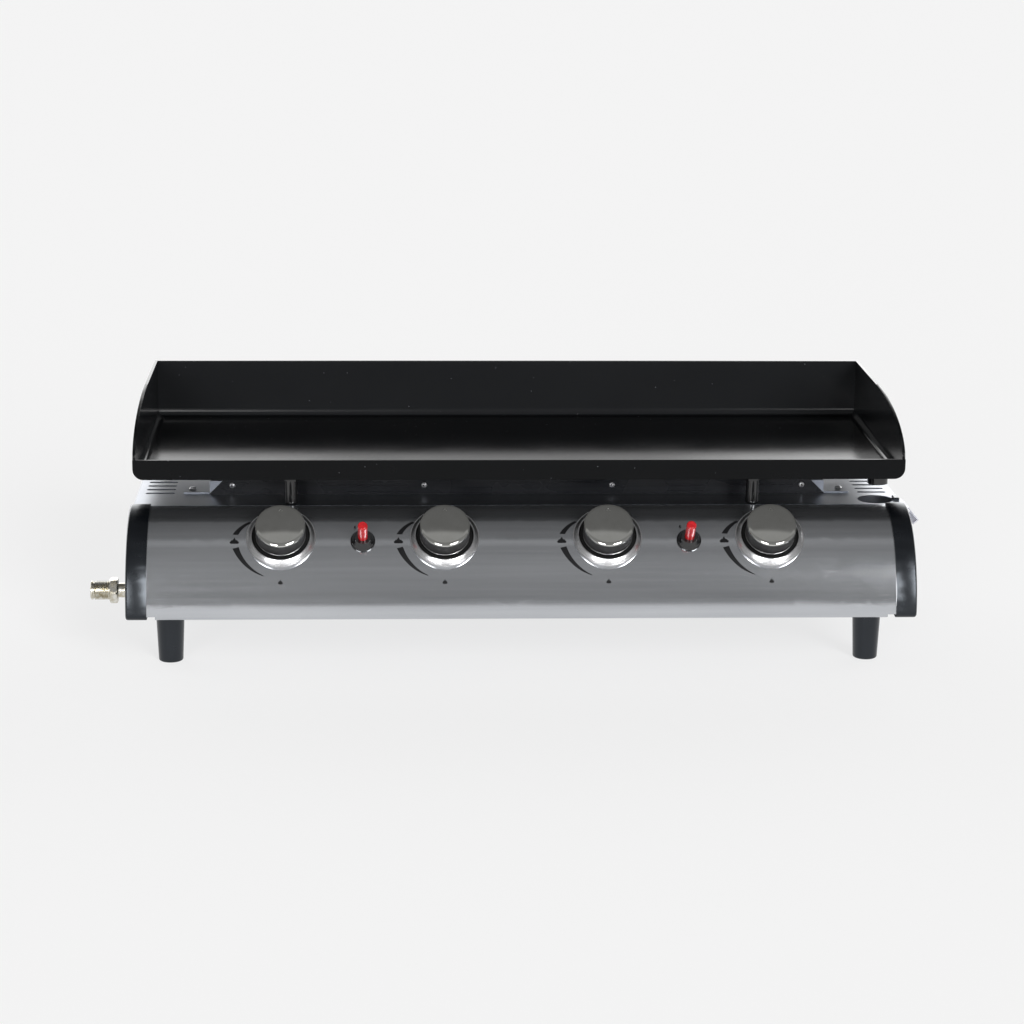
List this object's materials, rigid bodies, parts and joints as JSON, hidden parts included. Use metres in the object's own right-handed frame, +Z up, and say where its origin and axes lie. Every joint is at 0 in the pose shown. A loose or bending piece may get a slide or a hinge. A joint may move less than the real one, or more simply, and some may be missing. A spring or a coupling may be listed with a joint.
{
  "type": "gas barbecue grill",
  "caption": "Table-top gas griddle: lift-off enamelled plate over tube burners in a low steel housing, curved front panel with push-and-turn knobs and spark buttons.",
  "frame": {"origin": "on the table, under the middle of the whole object's box, from the tip of the gas inlet to the handle of the grease tray; the middle of the housing is 12.2 mm to its right", "axes": "+X to the right of a person at the knobs and along the length, +Y away from that person, +Z up"},
  "size_m": [0.8564, 0.396, 0.253],
  "materials": {
    "panel_steel": "fine horizontal brushing, satin",
    "cap_plastic": "moulded black, semi-matt",
    "top_sheet": "zinc-grey sheet, satin",
    "housing_sheet": "zinc-grey sheet, matt",
    "shield_sheet": "dark heat-resistant coating, satin",
    "fastener_steel": "bright zinc plated",
    "burner_steel": "stainless tube, satin",
    "tap_brass": "turned brass",
    "knob_plastic": "black, finely ribbed",
    "knob_chrome": "smoked bright metal",
    "bezel_steel": "satin steel, turned",
    "spring_steel": "drawn wire",
    "pipe_steel": "drawn tube",
    "inlet_zinc": "nickel plated, slightly worn",
    "igniter_plastic": "gloss black",
    "button_plastic": "gloss red",
    "sensor_copper": "copper tube",
    "electrode_ceramic": "glazed white ceramic",
    "tray_steel": "zinc-grey sheet",
    "enamel": "gloss black vitreous enamel with fine specks",
    "post_enamel": "gloss black"
  },
  "bodies": {
    "root": {"back_panel": "housing_sheet", "base_pan": "housing_sheet", "burner_1": "burner_steel", "burner_2": "burner_steel", "burner_3": "burner_steel", "burner_4": "burner_steel", "burner_box": "housing_sheet", "control_panel": "panel_steel", "end_cap_left": "cap_plastic", "end_cap_right": "cap_plastic", "foot_front_left": "cap_plastic", "foot_front_right": "cap_plastic", "foot_rear_left": "cap_plastic", "foot_rear_right": "cap_plastic", "foot_screws": "fastener_steel", "front_wind_shield": "shield_sheet", "gas_inlet": "inlet_zinc", "gas_manifold": "pipe_steel", "igniter_body_left": "igniter_plastic", "igniter_body_right": "igniter_plastic", "igniter_nuts": "fastener_steel", "injectors": "tap_brass", "knob_bezels": "bezel_steel", "knob_springs": "spring_steel", "rear_wind_shield": "shield_sheet", "sheet_screws": "fastener_steel", "shield_rivets": "fastener_steel", "side_panel_left": "housing_sheet", "side_panel_right": "housing_sheet", "spark_electrodes": "electrode_ceramic", "thermocouples": "sensor_copper", "top_frame": "top_sheet", "tray_guides": "top_sheet", "valve_body_1": "tap_brass", "valve_body_2": "tap_brass", "valve_body_3": "tap_brass", "valve_body_4": "tap_brass"},
    "plate": {"cooking_plate": "enamel", "plate_posts": "post_enamel", "drain_spout": "post_enamel"},
    "tray": {"grease_tray": "tray_steel"},
    "button_left": {"igniter_button_left": "button_plastic"},
    "button_right": {"igniter_button_right": "button_plastic"},
    "tap_1": {"valve_plug_1": "tap_brass"},
    "knob_1": {"valve_stem_1": "tap_brass", "knob_grip_1": "knob_plastic", "knob_cap_1": "knob_chrome"},
    "tap_2": {"valve_plug_2": "tap_brass"},
    "knob_2": {"valve_stem_2": "tap_brass", "knob_grip_2": "knob_plastic", "knob_cap_2": "knob_chrome"},
    "tap_3": {"valve_plug_3": "tap_brass"},
    "knob_3": {"valve_stem_3": "tap_brass", "knob_grip_3": "knob_plastic", "knob_cap_3": "knob_chrome"},
    "tap_4": {"valve_plug_4": "tap_brass"},
    "knob_4": {"valve_stem_4": "tap_brass", "knob_grip_4": "knob_plastic", "knob_cap_4": "knob_chrome"}
  },
  "joints": [
    {"name": "knob_1_turn", "type": "hinge", "parent": "root", "child": "tap_1", "pos_m": [-0.23255, -0.16286, 0.13764], "axis": [0, -0.6639, 0.7478], "range_deg": [0, 180]},
    {"name": "knob_1_push", "type": "slide", "parent": "tap_1", "child": "knob_1", "axis": [0, 0.6639, -0.7478], "range_m": [0, 0.003], "stiffness_N_per_m": 1500, "springref_m": -0.003, "deforming": ["knob_springs"]},
    {"name": "knob_2_turn", "type": "hinge", "parent": "root", "child": "tap_2", "pos_m": [-0.06705, -0.16286, 0.13764], "axis": [0, -0.6639, 0.7478], "range_deg": [0, 180]},
    {"name": "knob_2_push", "type": "slide", "parent": "tap_2", "child": "knob_2", "axis": [0, 0.6639, -0.7478], "range_m": [0, 0.003], "stiffness_N_per_m": 1500, "springref_m": -0.003, "deforming": ["knob_springs"]},
    {"name": "knob_3_turn", "type": "hinge", "parent": "root", "child": "tap_3", "pos_m": [0.09845, -0.16286, 0.13764], "axis": [0, -0.6639, 0.7478], "range_deg": [0, 180]},
    {"name": "knob_3_push", "type": "slide", "parent": "tap_3", "child": "knob_3", "axis": [0, 0.6639, -0.7478], "range_m": [0, 0.003], "stiffness_N_per_m": 1500, "springref_m": -0.003, "deforming": ["knob_springs"]},
    {"name": "knob_4_turn", "type": "hinge", "parent": "root", "child": "tap_4", "pos_m": [0.26395, -0.16286, 0.13764], "axis": [0, -0.6639, 0.7478], "range_deg": [0, 180]},
    {"name": "knob_4_push", "type": "slide", "parent": "tap_4", "child": "knob_4", "axis": [0, 0.6639, -0.7478], "range_m": [0, 0.003], "stiffness_N_per_m": 1500, "springref_m": -0.003, "deforming": ["knob_springs"]},
    {"name": "igniter_left_press", "type": "slide", "parent": "root", "child": "button_left", "axis": [0, 0.7016, -0.7125], "range_m": [0, 0.005], "stiffness_N_per_m": 800, "springref_m": -0.004},
    {"name": "igniter_right_press", "type": "slide", "parent": "root", "child": "button_right", "axis": [0, 0.7016, -0.7125], "range_m": [0, 0.005], "stiffness_N_per_m": 800, "springref_m": -0.004},
    {"name": "plate_lift", "type": "slide", "parent": "root", "child": "plate", "axis": [0, 0, 1], "range_m": [0, 0.12]},
    {"name": "grease_tray_pull", "type": "slide", "parent": "root", "child": "tray", "axis": [1, 0, 0], "range_m": [0, 0.1]}
  ]
}
